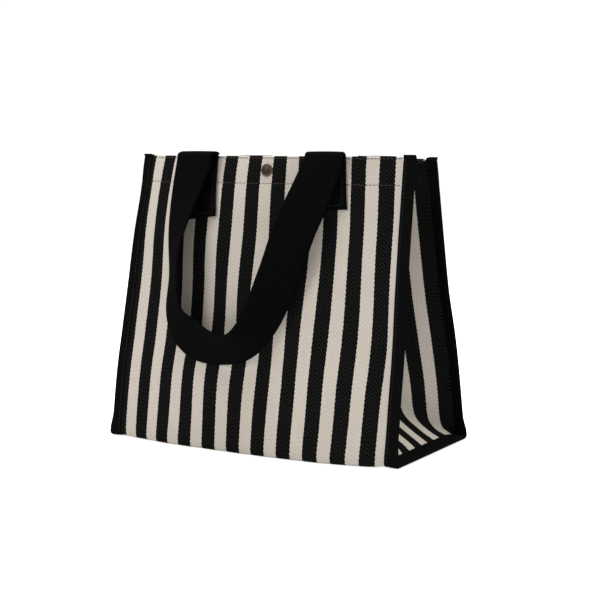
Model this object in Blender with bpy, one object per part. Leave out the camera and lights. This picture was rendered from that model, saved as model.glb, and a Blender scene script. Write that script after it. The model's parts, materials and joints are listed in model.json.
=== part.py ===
"""A striped canvas tote bag, standing open, as separate sewn pieces.

Metres, +Z up. The bag stands on Z = 0 with its width along X; its front faces -Y. The origin is the
middle of the underside. Run it with: blender --background --python part.py
"""

import math

import bmesh
import bpy
from mathutils import Matrix, Vector

# Driving dimensions -------------------------------------------------------------------------------
BAG_WIDTH = 0.300        # over the side bindings
BAG_HEIGHT = 0.270       # floor to the top edge of the cloth
CLOTH = 0.002            # thickness of the herringbone canvas
GAP = 0.0003             # clearance between pieces that touch on the real bag

# Front wall, as a distance from the middle plane Y = 0 to its outer face. The back wall mirrors it.
SIDE_DEPTH = 0.0825      # at the side seam, carried down to the floor
SIDE_LEAN = 0.192        # how much nearer the middle plane the side seam comes per metre of height
MIDDLE_DEPTH = 0.092     # at the middle of the wall, carried down to the floor
MIDDLE_LEAN = 1 / 6
CORNER_PULL = 0.006      # how far the top corners are drawn in besides
CORNER_PULL_FROM = 0.200
BULGE_POWER = 3.0        # roundness of the wall in plan at the floor
BULGE_POWER_TOP = 6.0    # flatter between the handles, tighter at the corners, at the top
FOLD_RADIUS = 0.008      # where the cloth turns from the base up into the wall

# Side seams and their binding tape
SEAM_X = 0.138           # inner edge of the binding
FLANGE_END = 0.1488      # edge of the cloth inside the binding
TAPE = 0.001
TAPE_CLEAR = 0.0004      # between the tape and the cloth that it wraps

# Gussets: one cloth on each side, folded inward down its middle
GUSSET_HALF = 0.081      # width of half the gusset cloth
GUSSET_TOP = 0.265
FOOT_APEX_Z = 0.050      # where the middle fold stops and the foot begins
GUSSET_INSET = 0.004     # from the wall's outer face to the middle of the gusset cloth
GUSSET_EDGE = 0.0010     # from the seam line in to the gusset's edge
FOLD_GAP = 0.0016        # from the middle plane to each half, where the two meet at the fold
GUSSET_CLEAR = 0.002     # from the wall's fold up to the gusset's lower edge, at the seam
PLEAT_CLEAR = 0.004      # from the foot's point up to the lower end of the middle fold
FOOT_CLEAR = 0.0022      # from the base binding up to the foot
FOOT_DROP = 0.0035       # the foot's point lies this far below the pleat's lower end

# Turned-in hem along the top of the front and back
HEM_COLUMNS = 14         # of the wall's 16 columns; the hem stops short of the side seams

# Handles: two straps of webbing
STRAP_WIDTH = 0.038
STRAP = 0.003
STRAP_X = 0.069          # middle of each sewn end, left and right
SEWN_LEFT = 0.058        # how far each sewn end reaches down the wall
SEWN_RIGHT = 0.048
TURN_RADIUS = 0.004      # of the middle of the strap, where it turns over the top edge
LEG_DROP = 0.0054        # the hanging leg starts this far under the turn's axis, clear of the turn

# The hanging strap, from the right end to the left: x, stand-off of its middle from the wall, z, and
# the angle in degrees by which its inner edge leans away from the wall
HANG = (
    (0.069, 0.0098, BAG_HEIGHT - LEG_DROP, 0),
    (0.060, 0.0120, 0.236, 12),
    (0.048, 0.0145, 0.203, 28),
    (0.038, 0.0165, 0.165, 34),
    (0.025, 0.0200, 0.125, 47),
    (0.006, 0.0200, 0.101, 48),
    (-0.022, 0.0150, 0.096, 30),
    (-0.053, 0.0100, 0.102, 10),
    (-0.073, 0.0120, 0.122, 25),
    (-0.079, 0.0130, 0.160, 30),
    (-0.080, 0.0100, 0.205, 14),
    (-0.069, 0.0098, BAG_HEIGHT - LEG_DROP, 0),
)
STEPS_PER_SPAN = 3

# Snap fastener, in the middle of the top hem
SNAP_X = 0.006
SNAP_DROP = 0.013
CAP_RADIUS = 0.006
POST_RADIUS = 0.0018
SOCKET_RADIUS = 0.0065
POST_CLEAR = 0.0003
ROUND_STEPS = 24


# The wall's shape ---------------------------------------------------------------------------------
def side_depth(z):
    """Outer face at the side seam, without the fold at the bottom."""
    pull = max(0.0, (z - CORNER_PULL_FROM) / (BAG_HEIGHT - CORNER_PULL_FROM))
    return SIDE_DEPTH - SIDE_LEAN * z - CORNER_PULL * pull ** 2


def wall_depth(x, z):
    """Outer face of the wall at width x and height z, fold included."""
    level = max(z, FOLD_RADIUS)
    power = BULGE_POWER + (BULGE_POWER_TOP - BULGE_POWER) * level / BAG_HEIGHT
    across = min(abs(x) / SEAM_X, 1.0) ** power
    side = side_depth(level)
    depth = side + (MIDDLE_DEPTH - MIDDLE_LEAN * level - side) * (1 - across)
    if z < FOLD_RADIUS:
        depth += math.sqrt(max(0.0, FOLD_RADIUS ** 2 - (FOLD_RADIUS - z) ** 2)) - FOLD_RADIUS
    return depth


def spaced(low, high, count):
    """count + 1 even steps from low to high."""
    return [low + (high - low) * i / count for i in range(count + 1)]


WALL_XS = spaced(-SEAM_X, SEAM_X, 16)
WALL_ZS = spaced(FOLD_RADIUS + GAP, BAG_HEIGHT, 9)


# Objects ------------------------------------------------------------------------------------------
def make_material(name, colour, roughness, metallic=0.0):
    material = bpy.data.materials.new(name)
    material.use_nodes = True
    shader = material.node_tree.nodes["Principled BSDF"]
    shader.inputs["Base Color"].default_value = (*colour, 1.0)
    shader.inputs["Roughness"].default_value = roughness
    shader.inputs["Metallic"].default_value = metallic
    material.diffuse_color = (*colour, 1.0)
    return material


def place_of(pivot):
    """Where a pivot stands in the world. Pivots are only ever moved, never turned."""
    return pivot.location + place_of(pivot.parent) if pivot else Vector()


def add_object(name, bm, material, pivot=None, smooth=False):
    """Turn a bmesh in world coordinates into an object that hangs from a pivot."""
    bmesh.ops.recalc_face_normals(bm, faces=bm.faces)
    bmesh.ops.translate(bm, verts=bm.verts, vec=-place_of(pivot))
    mesh = bpy.data.meshes.new(name)
    bm.to_mesh(mesh)
    bm.free()
    if smooth:
        mesh.shade_smooth()
        mesh.set_sharp_from_angle(angle=math.radians(40))
    mesh.materials.append(material)
    obj = bpy.data.objects.new(name, mesh)
    obj.parent = pivot
    bpy.context.collection.objects.link(obj)
    return obj


def add_pivot(name, location, parent=None):
    """An empty on a joint's axis, which the moving pieces hang from."""
    pivot = bpy.data.objects.new(name, None)
    pivot.empty_display_size = 0.02
    pivot.location = Vector(location) - place_of(parent)
    pivot.parent = parent
    bpy.context.collection.objects.link(pivot)
    return pivot


def sheet(rows, thickness_of):
    """A closed sheet. rows is a grid of outer points; thickness_of(point) leads to the inner one."""
    bm = bmesh.new()
    outer = [[bm.verts.new(p) for p in row] for row in rows]
    inner = [[bm.verts.new(Vector(p) + thickness_of(p)) for p in row] for row in rows]
    last_row, last_column = len(rows) - 1, len(rows[0]) - 1
    for face in (outer, inner):
        for r in range(last_row):
            for c in range(last_column):
                bm.faces.new((face[r][c], face[r][c + 1], face[r + 1][c + 1], face[r + 1][c]))
    rim = [(0, c) for c in range(last_column)]
    rim += [(r, last_column) for r in range(last_row)]
    rim += [(last_row, c) for c in range(last_column, 0, -1)]
    rim += [(r, 0) for r in range(last_row, 0, -1)]
    for (r0, c0), (r1, c1) in zip(rim, rim[1:] + rim[:1]):
        bm.faces.new((outer[r0][c0], outer[r1][c1], inner[r1][c1], inner[r0][c0]))
    return bm


def sweep(rings):
    """A closed bar through rings of points, its ends capped."""
    bm = bmesh.new()
    loops = [[bm.verts.new(p) for p in ring] for ring in rings]
    for a, b in zip(loops, loops[1:]):
        for i in range(len(a)):
            j = (i + 1) % len(a)
            bm.faces.new((a[i], a[j], b[j], b[i]))
    bm.faces.new(loops[0])
    bm.faces.new(loops[-1])
    return bm


def turned(profile, closed):
    """Spin a profile of (radius, height) points about Z."""
    bm = bmesh.new()
    verts = [bm.verts.new((r, 0, h)) for r, h in profile]
    edges = [bm.edges.new(pair) for pair in zip(verts, verts[1:])]
    if closed:
        edges.append(bm.edges.new((verts[-1], verts[0])))
    bmesh.ops.spin(bm, geom=verts + edges, axis=(0, 0, 1), cent=(0, 0, 0),
                   angle=math.tau, steps=ROUND_STEPS, use_merge=True)
    bmesh.ops.remove_doubles(bm, verts=bm.verts, dist=1e-6)
    return bm


# Front and back walls -----------------------------------------------------------------------------
def wall_panel(name, face, material, pivot):
    """One wall of striped cloth, with its side edges carried into the bindings."""
    rows = [[(x, face * wall_depth(x, z), z) for x in [-FLANGE_END] + WALL_XS + [FLANGE_END]]
            for z in WALL_ZS]
    return add_object(name, sheet(rows, lambda p: Vector((0, -face * CLOTH, 0))), material, pivot)


def wall_hem(name, face, material, pivot):
    """The strip of the wall's cloth that is turned in along the top edge."""
    left_out = (len(WALL_XS) - 1 - HEM_COLUMNS) // 2
    inset = CLOTH + GAP
    rows = [[(x, face * (wall_depth(x, z) - inset), z) for x in WALL_XS[left_out:len(WALL_XS) - left_out]]
            for z in WALL_ZS[-2:]]
    return add_object(name, sheet(rows, lambda p: Vector((0, -face * CLOTH, 0))), material, pivot)


def tape_section(across, along):
    """Eight corners of the tape wrapped over a cloth edge: (outward, into the bag) pairs."""
    outside = -TAPE_CLEAR - TAPE
    inside = CLOTH + TAPE_CLEAR + TAPE
    end = BAG_WIDTH / 2 - SEAM_X
    corners = (
        (0, outside), (end, outside), (end, inside), (0, inside),
        (0, inside - TAPE), (end - TAPE, inside - TAPE), (end - TAPE, outside + TAPE), (0, outside + TAPE),
    )
    return [across * u + along * v for u, v in corners]


def wall_binding(name, side, face, material, pivot):
    """Binding tape up one side edge of a wall."""
    rings = []
    for z in spaced(FOLD_RADIUS + GAP, BAG_HEIGHT + TAPE, 9):
        corner = Vector((side * SEAM_X, face * wall_depth(SEAM_X, z), z))
        rings.append([corner + p for p in tape_section(Vector((side, 0, 0)), Vector((0, -face, 0)))])
    return add_object(name, sweep(rings), material, pivot)


# Base ---------------------------------------------------------------------------------------------
FOLD_LIFT = TAPE + TAPE_CLEAR    # the cloth inside the base binding lies this far off the floor


def base_lift(x):
    """The cloth rises from the floor into the bindings over the last few millimetres."""
    flat_end = SEAM_X - 0.008
    return FOLD_LIFT * min(1.0, max(0.0, (abs(x) - flat_end) / (SEAM_X - flat_end)))


def base_points(x, lift):
    """Outer face of the base cloth from the front fold to the back fold: (y, z, inward) triples."""
    low_depth = wall_depth(x, 0.0)
    radius = FOLD_RADIUS - lift
    half = []
    for i in range(5):
        angle = math.radians(90 * i / 4)
        y = low_depth + FOLD_RADIUS * math.cos(angle)
        z = FOLD_RADIUS - radius * math.sin(angle)
        half.append((y, z, Vector((0, math.cos(angle), -math.sin(angle)))))
    flat = [(low_depth * f, lift, Vector((0, 0, -1))) for f in (0.5, 0.0)]
    front = half + flat
    back = [(-y, z, Vector((0, -n.y, n.z))) for y, z, n in reversed(front[:-1])]
    return front + back


def base_panel(material):
    """The floor of the bag, turned up at the front and back where the walls begin."""
    xs = [-FLANGE_END, -SEAM_X] + spaced(-SEAM_X + 0.008, SEAM_X - 0.008, 12) + [SEAM_X, FLANGE_END]
    columns = [base_points(x, base_lift(x)) for x in xs]
    rows = [[(x, -p[0], p[1]) for x, p in zip(xs, row)] for row in zip(*columns)]
    inward = {}
    for row in zip(*columns):
        for x, (y, z, n) in zip(xs, row):
            inward[(x, -y, z)] = Vector((0, n.y, -n.z)) * CLOTH
    return add_object("base_panel", sheet(rows, lambda p: inward[p]), material)


def base_binding(name, side, material):
    """Binding tape along the bottom of one side, turned up at both ends."""
    rings = []
    for y, z, n in base_points(SEAM_X, FOLD_LIFT):
        inward = Vector((0, n.y, -n.z))
        section = tape_section(Vector((side, 0, 0)), inward)
        rings.append([Vector((side * SEAM_X, -y, z)) + p for p in section])
    return add_object(name, sweep(rings), material)


# Gussets ------------------------------------------------------------------------------------------
def crease_x(z):
    """How far from the middle of the bag the gusset's inward fold comes at height z."""
    half_depth = min(side_depth(z), GUSSET_HALF)
    return SEAM_X - math.sqrt(GUSSET_HALF ** 2 - half_depth ** 2)


def across_points(start, end, count, thickness):
    """Points from start to end, and the step across them that gives a sheet its thickness."""
    normal = (end - start).cross(Vector((0, 0, 1))).normalized() * thickness
    return [start.lerp(end, i / count) for i in range(count + 1)], normal


def gusset_half(name, side, face, material):
    """One half of the pleated side, from the side seam in to the middle fold."""
    seam_x = side * (SEAM_X - GUSSET_EDGE)
    rows = []
    steps = {}
    for i in range(9):
        up = i / 8
        seam_z = FOLD_RADIUS + GUSSET_CLEAR + (GUSSET_TOP - FOLD_RADIUS - GUSSET_CLEAR) * up
        fold_z = FOOT_APEX_Z + PLEAT_CLEAR + (GUSSET_TOP - FOOT_APEX_Z - PLEAT_CLEAR) * up
        seam = Vector((seam_x, face * (side_depth(seam_z) - GUSSET_INSET), seam_z))
        fold = Vector((side * crease_x(fold_z), face * FOLD_GAP, fold_z))
        points, normal = across_points(seam, fold, 4, CLOTH)
        rows.append([tuple(p - normal / 2) for p in points])
        for p in rows[-1]:
            steps[p] = normal
    return add_object(name, sheet(rows, lambda p: steps[p]), material)


def gusset_foot(name, side, material):
    """The triangle under the pleat, sloping in and up from the base to the end of the middle fold."""
    low_z = FOLD_LIFT + CLOTH + TAPE_CLEAR + TAPE + FOOT_CLEAR
    half = side_depth(0.0) - FOLD_RADIUS - 0.004
    apex = Vector((side * (crease_x(FOOT_APEX_Z) + 0.0012), 0, FOOT_APEX_Z - FOOT_DROP))
    front = Vector((side * (SEAM_X - 0.002), -half, low_z))
    back = Vector((front.x, half, low_z))
    normal = (front - apex).cross(back - apex).normalized() * CLOTH
    bm = bmesh.new()
    rings = [[bm.verts.new(p + step) for p in (front, back, apex)] for step in (normal / 2, -normal / 2)]
    for ring in rings:
        bm.faces.new(ring)
    for i in range(3):
        j = (i + 1) % 3
        bm.faces.new((rings[0][i], rings[0][j], rings[1][j], rings[1][i]))
    return add_object(name, bm, material)


# Handles ------------------------------------------------------------------------------------------
TURN_DEPTH = wall_depth(0, BAG_HEIGHT) + GAP + STRAP / 2 + TURN_RADIUS    # axis from the middle plane


def turn_axis(face):
    """A point on the axis that a handle swings about, over the top edge of its wall."""
    return Vector((0, face * TURN_DEPTH, BAG_HEIGHT))


def sewn_end(name, side, face, reach, material, pivot):
    """The sewn end of a strap, flat on the wall, and its turn over the top edge."""
    centre_x = side * STRAP_X
    xs = spaced(centre_x - STRAP_WIDTH / 2, centre_x + STRAP_WIDTH / 2, 3)
    flatten_from = BAG_HEIGHT - 0.030
    rows = []
    steps = {}
    for z in spaced(BAG_HEIGHT - reach, BAG_HEIGHT, 5):
        flat = max(0.0, (z - flatten_from) / (BAG_HEIGHT - flatten_from))
        row = []
        for x in xs:
            own, middle = wall_depth(x, z), wall_depth(0, z)
            depth = own + (middle - own) * flat + GAP
            row.append((x, face * depth, z))
            steps[row[-1]] = Vector((0, face * STRAP, 0))
        rows.append(row)
    axis = turn_axis(face)
    inner = TURN_RADIUS + STRAP / 2
    for i in range(1, 9):
        angle = math.radians(180 * i / 8)
        out = Vector((0, -face * math.cos(angle), math.sin(angle)))
        row = [tuple(Vector((x, axis.y, axis.z)) + out * inner) for x in xs]
        for p in row:
            steps[p] = -out * STRAP
        rows.append(row)
    return add_object(name, sheet(rows, lambda p: steps[p]), material, pivot)


def smooth_path(points, steps):
    """A Catmull-Rom curve through the points, which may have any number of values each."""
    ends = [tuple(2 * a - b for a, b in zip(points[0], points[1]))]
    far = [tuple(2 * a - b for a, b in zip(points[-1], points[-2]))]
    padded = ends + list(points) + far
    path = []
    for p0, p1, p2, p3 in zip(padded, padded[1:], padded[2:], padded[3:]):
        for i in range(steps):
            t = i / steps
            path.append(tuple(
                0.5 * (2 * b + (c - a) * t + (2 * a - 5 * b + 4 * c - d) * t ** 2
                       + (3 * b - a - 3 * c + d) * t ** 3)
                for a, b, c, d in zip(p0, p1, p2, p3)))
    path.append(points[-1])
    return path


def handle_loop(name, face, material, pivot):
    """The hanging length of a strap. The back one is the front one turned half round."""
    path = smooth_path(HANG, STEPS_PER_SPAN)
    middles = [Vector((x, -wall_depth(x, z) - off, z)) for x, off, z, lean in path]
    rings = []
    for i, (x, off, z, lean) in enumerate(path):
        before, after = middles[max(i - 1, 0)], middles[min(i + 1, len(path) - 1)]
        tangent = (after - before).normalized()
        if i in (0, len(path) - 1):
            tangent = Vector((0, 0, -1 if i == 0 else 1))
        flat = tangent.cross(Vector((0, -1, 0))).normalized()
        angle = math.radians(lean)
        width = flat * math.cos(angle) + Vector((0, -1, 0)) * math.sin(angle)
        width = (width - tangent * width.dot(tangent)).normalized() * STRAP_WIDTH / 2
        thick = width.cross(tangent).normalized() * STRAP / 2
        corners = (width + thick, width - thick, -width - thick, -width + thick)
        rings.append([middles[i] + c for c in corners])
    if face > 0:
        rings = [[Vector((-p.x, -p.y, p.z)) for p in ring] for ring in rings]
    return add_object(name, sweep(rings), material, pivot)


# Snap fastener ------------------------------------------------------------------------------------
def snap_frame(face):
    """The snap's place on the wall's outer face, with its Z pointing out of the bag."""
    z = BAG_HEIGHT - SNAP_DROP
    spot = Vector((SNAP_X, face * wall_depth(SNAP_X, z), z))
    out = Vector((0, face, MIDDLE_LEAN)).normalized()
    return Matrix.Translation(spot) @ out.to_track_quat("Z", "Y").to_matrix().to_4x4()


LAYERS = 2 * CLOTH + 2 * GAP     # of cloth that the snap goes through


def snap_piece(name, profile, closed, face, material, pivot):
    bm = turned(profile, closed)
    bmesh.ops.transform(bm, matrix=snap_frame(face), verts=bm.verts)
    return add_object(name, bm, material, pivot, smooth=True)


def snap_cap(name, face, material, pivot):
    """The domed cap outside, with its post through the cloth."""
    profile = (
        (0, 0.0026), (0.0022, 0.0025), (0.0042, 0.0020), (0.0055, 0.0012), (CAP_RADIUS, GAP + 0.0002),
        (0.0057, GAP), (POST_RADIUS, GAP), (POST_RADIUS, -LAYERS - 0.0020), (0, -LAYERS - 0.0020),
    )
    return snap_piece(name, profile, False, face, material, pivot)


def snap_socket(name, face, material, pivot):
    """The ring inside the front that grips the stud."""
    top, bottom, bore = -LAYERS - GAP, -LAYERS - 0.0032, POST_RADIUS + POST_CLEAR
    profile = (
        (bore, top), (SOCKET_RADIUS, top), (SOCKET_RADIUS, bottom + 0.0012),
        (SOCKET_RADIUS - 0.0015, bottom), (bore, bottom),
    )
    return snap_piece(name, profile, True, face, material, pivot)


def snap_stud(name, face, material, pivot):
    """The disc inside the back, with the raised ring that clicks into the socket."""
    top, bottom, bore = -LAYERS - GAP, -LAYERS - 0.0014, POST_RADIUS + POST_CLEAR
    profile = (
        (bore, top), (SOCKET_RADIUS, top), (SOCKET_RADIUS, bottom), (0.0034, bottom),
        (0.0032, bottom - 0.0026), (bore, bottom - 0.0026),
    )
    return snap_piece(name, profile, True, face, material, pivot)


def punch(obj, face, pivot):
    """Cut the snap's hole through a piece of cloth."""
    bm = turned(((0, 0.004), (POST_RADIUS + POST_CLEAR, 0.004),
                 (POST_RADIUS + POST_CLEAR, -0.010), (0, -0.010)), False)
    bmesh.ops.transform(bm, matrix=snap_frame(face), verts=bm.verts)
    cutter = add_object(obj.name + "_hole_cutter", bm, obj.data.materials[0], pivot)
    cutter.hide_render = True
    cutter.display_type = "WIRE"
    cut = obj.modifiers.new("snap_hole", "BOOLEAN")
    cut.operation = "DIFFERENCE"
    cut.object = cutter


# Assembly -----------------------------------------------------------------------------------------
def build_side(word, face, materials):
    """One wall with all that moves with it. face is -1 for the front and 1 for the back."""
    canvas, tape, webbing, metal = materials
    hinge = add_pivot(word + "_wall_hinge", (0, face * wall_depth(0, FOLD_RADIUS), FOLD_RADIUS))
    panel = wall_panel(word + "_panel", face, canvas, hinge)
    hem = wall_hem(word + "_hem", face, canvas, hinge)
    for piece in (panel, hem):
        punch(piece, face, hinge)
    for side_word, side in (("left", -1), ("right", 1)):
        wall_binding(f"{word}_{side_word}_binding", side, face, tape, hinge)
        reach = SEWN_LEFT if side == face else SEWN_RIGHT
        sewn_end(f"{word}_handle_{side_word}_end", side, face, reach, webbing, hinge)
    snap_cap(word + "_snap_cap", face, metal, hinge)
    if face < 0:
        snap_socket("front_snap_socket", face, metal, hinge)
    else:
        snap_stud("back_snap_stud", face, metal, hinge)
    swing = add_pivot(word + "_handle_swing", turn_axis(face), hinge)
    handle_loop(word + "_handle_loop", face, webbing, swing)


def main():
    for obj in list(bpy.data.objects):
        bpy.data.objects.remove(obj, do_unlink=True)

    canvas = make_material("striped_canvas", (0.70, 0.64, 0.57), 0.9)
    tape = make_material("black_tape", (0.012, 0.012, 0.013), 0.75)
    webbing = make_material("black_webbing", (0.012, 0.012, 0.013), 0.85)
    metal = make_material("dark_brass", (0.16, 0.13, 0.10), 0.35, 1.0)

    base_panel(canvas)
    for side_word, side in (("left", -1), ("right", 1)):
        base_binding(f"base_{side_word}_binding", side, tape)
        gusset_half(f"{side_word}_gusset_front_half", side, -1, canvas)
        gusset_half(f"{side_word}_gusset_back_half", side, 1, canvas)
        gusset_foot(f"{side_word}_gusset_foot", side, canvas)
    for word, face in (("front", -1), ("back", 1)):
        build_side(word, face, (canvas, tape, webbing, metal))
    bpy.context.view_layer.update()


main()
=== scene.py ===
# %% [markdown]
# # A striped canvas tote bag
# The bag stands open on a table: a front, a base and a back of heavy herringbone canvas, a pleated
# gusset at each side, black binding tape over the seams, two black webbing handles and one snap.
# The solids of the CAD model are the fixed frame. They say where everything is and how it moves;
# this script makes the cloth, the tape, the straps, the thread and the metal that are seen.

# %% Load the frame
import json
import math

import bmesh
import bpy
import numpy as np
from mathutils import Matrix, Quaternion, Vector


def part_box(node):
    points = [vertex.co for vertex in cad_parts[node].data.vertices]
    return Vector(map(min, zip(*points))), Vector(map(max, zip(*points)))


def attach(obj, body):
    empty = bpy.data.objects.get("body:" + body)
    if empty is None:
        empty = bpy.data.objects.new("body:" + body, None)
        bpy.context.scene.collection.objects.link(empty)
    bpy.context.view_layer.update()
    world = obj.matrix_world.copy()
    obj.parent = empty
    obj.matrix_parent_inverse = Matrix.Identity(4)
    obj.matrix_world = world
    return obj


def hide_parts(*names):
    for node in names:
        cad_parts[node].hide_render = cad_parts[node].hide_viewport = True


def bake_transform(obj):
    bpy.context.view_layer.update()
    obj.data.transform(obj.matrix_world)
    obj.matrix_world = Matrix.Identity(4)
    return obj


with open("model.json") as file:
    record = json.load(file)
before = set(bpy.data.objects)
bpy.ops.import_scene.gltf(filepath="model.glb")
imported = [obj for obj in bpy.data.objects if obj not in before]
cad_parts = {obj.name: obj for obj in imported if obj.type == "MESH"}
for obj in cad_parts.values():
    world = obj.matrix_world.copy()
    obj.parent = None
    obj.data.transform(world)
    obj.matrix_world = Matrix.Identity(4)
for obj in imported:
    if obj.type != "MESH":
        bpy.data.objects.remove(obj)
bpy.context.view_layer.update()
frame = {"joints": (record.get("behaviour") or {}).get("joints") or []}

# %% [markdown]
# The main sizes are read off the CAD nodes, so that the cloth lands where the solids are: the side
# seams, the outer edge of the bindings, the top edge, and the lines that the walls and the handles
# turn about.

# %% Sizes that come from the frame
seam_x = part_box("front_right_binding")[0].x + 0.002     # the cloth is a little fuller than its solid
tape_end_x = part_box("front_right_binding")[1].x + 0.001
top_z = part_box("front_panel")[1].z
joints = {j["name"]: j for j in frame["joints"]}
wall_hinge = Vector(joints["front_wall_open"]["pos_m"])
fold_radius = wall_hinge.z
swing_axis = Vector(joints["front_handle_swing"]["pos_m"])
strap_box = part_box("front_handle_right_end")
strap_width = strap_box[1].x - strap_box[0].x
strap_x = (strap_box[1].x + strap_box[0].x) / 2
WALLS = (("front", -1), ("back", 1))      # the front faces -Y
SIDES = (("left", -1), ("right", 1))
BACK_SUNK = 0.002         # the rim at the back stands this much lower
rim_z = {-1: top_z, 1: top_z - BACK_SUNK}
print(f"side seam {seam_x * 1000:.0f} mm, top {top_z * 1000:.0f} mm, strap {strap_width * 1000:.0f} mm")

# %% [markdown]
# ## Small helpers
# Cloth is thin, so every cloth piece here starts as a grid of points on its middle surface. The grid
# is then given a thickness along its own normals. A grid keeps its rows and columns, so each point
# also knows how far along and across the cloth it lies, and the weave and the stripes are painted
# by those two distances. They go into a UV map, in centimetres.

# %% Helpers: directions, distances and easing
def unit(vectors):
    return vectors / np.maximum(np.linalg.norm(vectors, axis=-1, keepdims=True), 1e-12)


def run_along(points):
    """How far along a line each of its points lies."""
    return np.concatenate([[0], np.cumsum(np.linalg.norm(np.diff(points, axis=0), axis=1))])


def smoothstep(low, high, value):
    t = np.clip((value - low) / (high - low), 0.0, 1.0)
    return t * t * (3 - 2 * t)


# %% Helper: turn vertices and faces into an object
def add_object(name, data):
    obj = bpy.data.objects.new(name, data)
    bpy.context.scene.collection.objects.link(obj)
    return obj


def make_object(name, verts, faces, uvs=None, smooth_angle=50):
    mesh = bpy.data.meshes.new(name)
    mesh.from_pydata([tuple(v) for v in verts], [], faces)
    if uvs is not None:
        layer = mesh.uv_layers.new(name="cloth")
        loop_vert = np.zeros(len(mesh.loops), np.int32)
        mesh.loops.foreach_get("vertex_index", loop_vert)
        layer.data.foreach_set("uv", np.asarray(uvs, np.float32)[loop_vert].ravel())
    mesh.shade_smooth()
    mesh.set_sharp_from_angle(angle=math.radians(smooth_angle))
    mesh.update()
    return add_object(name, mesh)


def face_outward(obj):
    """Turn every face of a closed piece outward."""
    bm = bmesh.new()
    bm.from_mesh(obj.data)
    bmesh.ops.recalc_face_normals(bm, faces=bm.faces)
    bm.to_mesh(obj.data)
    bm.free()
    return obj


# %% Helper: normals of a grid of points
def grid_normals(points):
    """Unit normals of a rows x columns grid, by the differences along and across it."""
    return unit(np.cross(np.gradient(points, axis=1), np.gradient(points, axis=0)))


# %% Helper: a closed sheet of cloth from its middle surface
CM = 100.0                # UV units per metre
CLOTH = 0.0012            # thickness of the canvas


def cloth_piece(name, middle, uv, normals):
    """A closed sheet with rounded edges. middle is rows x columns x 3, uv is rows x columns x 2 in metres."""
    rows, cols, _ = middle.shape
    half = normals * CLOTH / 2
    outer, inner = middle + half, middle - half
    verts = list(outer.reshape(-1, 3)) + list(inner.reshape(-1, 3))
    uvs = list(uv.reshape(-1, 2) * CM) * 2
    offset = rows * cols
    faces = []
    for r in range(rows - 1):
        for c in range(cols - 1):
            a = r * cols + c
            faces.append((a, a + 1, a + cols + 1, a + cols))
            faces.append((a + offset, a + cols + offset, a + cols + 1 + offset, a + 1 + offset))
    rim = [(0, c) for c in range(cols - 1)] + [(r, cols - 1) for r in range(rows - 1)]
    rim += [(rows - 1, c) for c in range(cols - 1, 0, -1)] + [(r, 0) for r in range(rows - 1, 0, -1)]
    edge = {}
    for r, c in rim:
        # one more point half way round the cloth's edge, pushed out, so that the edge is round
        r_in, c_in = min(max(r, 1), rows - 2), min(max(c, 1), cols - 2)
        out = middle[r, c] - middle[r_in, c_in]
        out = out / max(np.linalg.norm(out), 1e-9)
        edge[(r, c)] = len(verts)
        verts.append(middle[r, c] + out * CLOTH * 0.35)
        uvs.append(uv[r, c] * CM)
    for (r0, c0), (r1, c1) in zip(rim, rim[1:] + rim[:1]):
        a, b = r0 * cols + c0, r1 * cols + c1
        faces.append((b, a, edge[(r0, c0)], edge[(r1, c1)]))
        faces.append((a + offset, b + offset, edge[(r1, c1)], edge[(r0, c0)]))
    return make_object(name, verts, faces, uvs)


# %% Helper: a closed bar swept through rings of points
def swept_piece(name, rings, lengths, girth, smooth_angle=50):
    """rings is stations x points x 3; lengths the distance along at each; girth the distance around."""
    stations, count, _ = rings.shape
    verts = list(rings.reshape(-1, 3))
    uvs = [(g * CM, s * CM) for s in lengths for g in girth]
    faces = []
    for s in range(stations - 1):
        for i in range(count):
            j = (i + 1) % count
            a, b = s * count, (s + 1) * count
            faces.append((a + i, a + j, b + j, b + i))
    for s in (0, stations - 1):
        ring = [s * count + i for i in range(count)]
        faces.append(ring[::-1] if s == 0 else ring)
    return face_outward(make_object(name, verts, faces, uvs, smooth_angle))


# %% Helper: a smooth curve through a few chosen points
def smooth_through(points, steps):
    """Catmull-Rom curve through points of any number of values each, steps to a span."""
    p = np.array(points, float)
    p = np.vstack([2 * p[0] - p[1], p, 2 * p[-1] - p[-2]])
    out = []
    for a, b, c, d in zip(p, p[1:], p[2:], p[3:]):
        for t in np.arange(steps) / steps:
            out.append(0.5 * (2 * b + (c - a) * t + (2 * a - 5 * b + 4 * c - d) * t ** 2
                              + (3 * b - a - 3 * c + d) * t ** 3))
    out.append(p[-2])
    return np.array(out)


# %% [markdown]
# ## The shape of the walls
# The base is a rectangle, and the walls lean in towards the mouth. Canvas this heavy holds a gentle
# curve, so each wall is fuller in the middle than at the side seams; the sewn strap ends stiffen the
# top, and the pleats pull its corners in, some more than others. A maker would pin the cloth on a
# form. Here the pins are a few depths in millimetres, with a smooth surface drawn through them.

# %% Depth of the walls from the middle plane
MM = 0.001
# distances along the cloth from the middle of the bag, and heights, at which the depth is chosen
wall_columns = np.array([-151, -122, -82, -41, 0, 41, 82, 121, 151]) * MM
wall_levels = np.array([0, 60, 100, 145, 195, 235, 270]) * MM
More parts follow.
